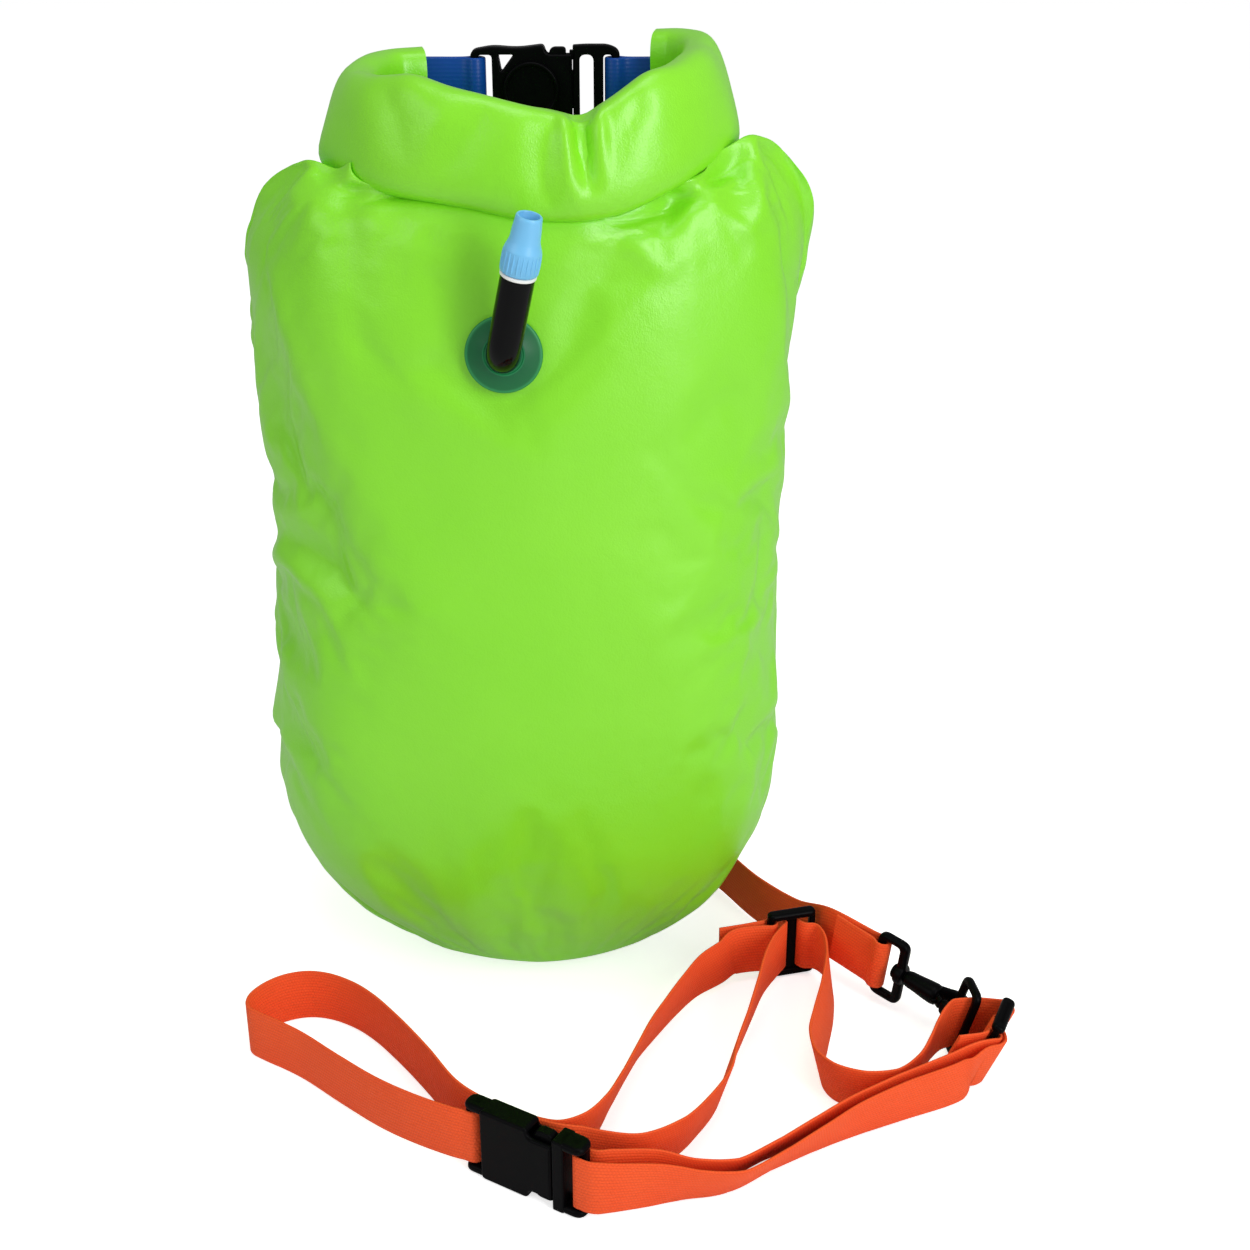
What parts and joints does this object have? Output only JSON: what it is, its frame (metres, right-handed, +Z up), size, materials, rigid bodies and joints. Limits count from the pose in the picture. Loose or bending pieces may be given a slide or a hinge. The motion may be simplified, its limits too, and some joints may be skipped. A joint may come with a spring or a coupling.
{
  "type": "inflatable swim buoy dry bag",
  "caption": "Upright inflatable swim buoy and dry bag with a roll-top collar, buckle closure, inflation valve, tether with snap hook, and a webbing waist belt laid out on the floor.",
  "frame": {"origin": "in the flat patch under the bag, 6 mm in front of its bottom seam and on the bag's middle", "axes": "+Z up along the bag's height, -Y toward the front panel with the valve, +X to the right seen from the front"},
  "size_m": [0.3311, 0.3228, 0.4139],
  "materials": {
    "bag_fabric": "neon green coated fabric with a soft satin sheen",
    "liner_film": "grey film",
    "belt_webbing": "orange woven webbing",
    "tab_webbing": "blue coated webbing with a slight gloss",
    "black_plastic": "black moulded plastic, satin",
    "tube_rubber": "black flexible tube, glossy",
    "flange_green": "dark green welded disc",
    "mouthpiece_blue": "light blue moulded plastic",
    "valve_white": "white moulded plastic"
  },
  "bodies": {
    "bag": {"front_panel": "bag_fabric", "back_panel": "bag_fabric", "dry_liner_front": "liner_film", "dry_liner_back": "liner_film", "seam_tape_left": "bag_fabric", "seam_tape_right": "bag_fabric", "roll_top": "bag_fabric", "mouth_stiffener": "black_plastic", "closure_female": "black_plastic", "closure_male": "black_plastic", "closure_tab_left": "tab_webbing", "closure_tab_right": "tab_webbing", "valve_flange": "flange_green", "valve_tube": "tube_rubber", "valve_collar": "valve_white", "tether_patch": "bag_fabric", "tether_webbing": "belt_webbing", "swivel_eye": "black_plastic"},
    "mouthpiece": {"mouthpiece": "mouthpiece_blue"},
    "poppet": {"valve_poppet": "valve_white"},
    "closure_upper_arm": {"closure_prong_upper": "black_plastic"},
    "closure_lower_arm": {"closure_prong_lower": "black_plastic"},
    "belt": {"webbing_left_loop": "belt_webbing", "webbing_return": "belt_webbing", "webbing_centre": "belt_webbing", "webbing_front": "belt_webbing", "webbing_rear": "belt_webbing", "left_glide": "black_plastic", "right_glide": "black_plastic", "strap_ring": "black_plastic", "buckle_female": "black_plastic", "buckle_male": "black_plastic"},
    "buckle_upper_arm": {"buckle_prong_upper": "black_plastic"},
    "buckle_lower_arm": {"buckle_prong_lower": "black_plastic"},
    "hook": {"hook_body": "black_plastic"},
    "gate": {"hook_gate": "black_plastic"}
  },
  "joints": [
    {"name": "mouthpiece_twist", "type": "hinge", "parent": "bag", "child": "mouthpiece", "pos_m": [0.00522, -0.08335, 0.34231], "axis": [0.2078, -0.1564, 0.9656], "range_deg": [0, 90]},
    {"name": "poppet_press", "type": "slide", "parent": "bag", "child": "poppet", "axis": [-0.2078, 0.1564, -0.9656], "range_m": [0, 0.0025], "stiffness_N_per_m": 200},
    {"name": "closure_upper_squeeze", "type": "hinge", "parent": "bag", "child": "closure_upper_arm", "pos_m": [0.0223, 0.0322, 0.39985], "axis": [0, -1, 0], "range_deg": [0, 7], "stiffness_Nm_per_rad": 0.05},
    {"name": "closure_lower_squeeze", "type": "hinge", "parent": "bag", "child": "closure_lower_arm", "pos_m": [0.0223, 0.0322, 0.38085], "axis": [0, 1, 0], "range_deg": [0, 7], "stiffness_Nm_per_rad": 0.05},
    {"name": "belt_swing", "type": "hinge", "parent": "bag", "child": "belt", "pos_m": [0.18871, -0.07603, 0.017], "axis": [0, 0, 1], "range_deg": [0, 25]},
    {"name": "buckle_upper_squeeze", "type": "hinge", "parent": "belt", "child": "buckle_upper_arm", "pos_m": [0.0176, -0.17741, 0.0265], "axis": [-0.515, -0.8572, 0], "range_deg": [0, 7], "stiffness_Nm_per_rad": 0.05},
    {"name": "buckle_lower_squeeze", "type": "hinge", "parent": "belt", "child": "buckle_lower_arm", "pos_m": [0.0176, -0.17741, 0.0075], "axis": [0.515, 0.8572, 0], "range_deg": [0, 7], "stiffness_Nm_per_rad": 0.05},
    {"name": "hook_swivel", "type": "hinge", "parent": "bag", "child": "hook", "pos_m": [0.16881, -0.05873, 0.02024], "axis": [-0.7491, 0.6512, 0.1219], "range_deg": [-12, 12]},
    {"name": "gate_open", "type": "hinge", "parent": "hook", "child": "gate", "pos_m": [0.17993, -0.07129, 0.01866], "axis": [0.2247, 0.0767, 0.9714], "range_deg": [0, 22], "stiffness_Nm_per_rad": 0.01}
  ]
}
